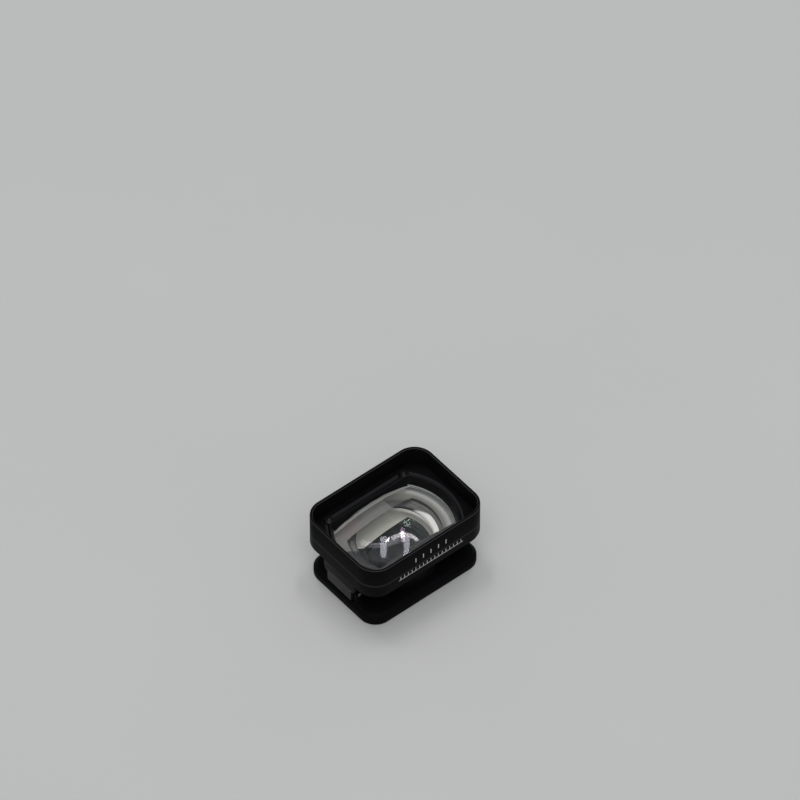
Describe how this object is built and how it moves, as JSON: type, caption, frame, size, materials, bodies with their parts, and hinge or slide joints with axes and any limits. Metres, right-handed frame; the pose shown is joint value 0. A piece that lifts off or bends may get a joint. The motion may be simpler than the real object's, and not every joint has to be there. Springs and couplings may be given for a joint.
{
  "type": "clip-on telephoto lens",
  "caption": "Clip-on telephoto front lens for a small camera: rectangular hood, truncated front glass, lens barrel and a clip frame with sprung side levers.",
  "frame": {"origin": "on the optical axis, in the plane of the clip frame's rear rim", "axes": "+Z along the optical axis towards the subject, X along the hood's long side, Y across it"},
  "size_m": [0.028, 0.0208, 0.016],
  "materials": {
    "hood_black": "fine-blasted black anodised",
    "plate_black": "satin black anodised",
    "screw_steel": "turned",
    "screw_black": "blackened",
    "front_glass": "polished and coated, edges ground",
    "inner_glass": "polished and coated",
    "rear_glass": "polished and coated",
    "gasket_rubber": "matt",
    "matt_black": "matt black",
    "ring_black": "satin black anodised",
    "barrel_black": "satin black anodised",
    "frame_black": "fine-blasted black anodised",
    "pad_rubber": "matt",
    "lever_black": "satin black anodised",
    "pin_steel": "ground",
    "spring_steel": "rolled"
  },
  "bodies": {
    "lens": {"hood_shell": "hood_black", "front_retaining_plate": "plate_black", "plate_screws": "screw_black", "front_element": "front_glass", "front_gasket": "gasket_rubber", "light_baffle": "matt_black", "middle_retaining_ring": "ring_black", "middle_crown": "inner_glass", "middle_flint": "inner_glass", "rear_barrel": "barrel_black", "aperture_stop": "matt_black", "rear_element": "rear_glass", "rear_retaining_ring": "ring_black", "clip_frame": "frame_black", "frame_screws": "screw_steel", "seat_pad": "pad_rubber", "hinge_pin_right": "pin_steel", "hinge_pin_left": "pin_steel", "leaf_spring_right": "spring_steel", "leaf_spring_left": "spring_steel", "spring_screws": "screw_steel"},
    "right_lever": {"clip_lever_right": "lever_black"},
    "left_lever": {"clip_lever_left": "lever_black"}
  },
  "joints": [
    {"name": "right_lever_pivot", "type": "hinge", "parent": "lens", "child": "right_lever", "pos_m": [0.0121, 0, 0.0044], "axis": [0, -1, 0], "range_deg": [0, 6], "stiffness_Nm_per_rad": 0.03, "springref_deg": -5.73, "deforming": ["leaf_spring_right"]},
    {"name": "left_lever_pivot", "type": "hinge", "parent": "lens", "child": "left_lever", "pos_m": [-0.0121, 0, 0.0044], "axis": [0, 1, 0], "range_deg": [0, 6], "stiffness_Nm_per_rad": 0.03, "springref_deg": -5.73, "deforming": ["leaf_spring_left"]}
  ]
}
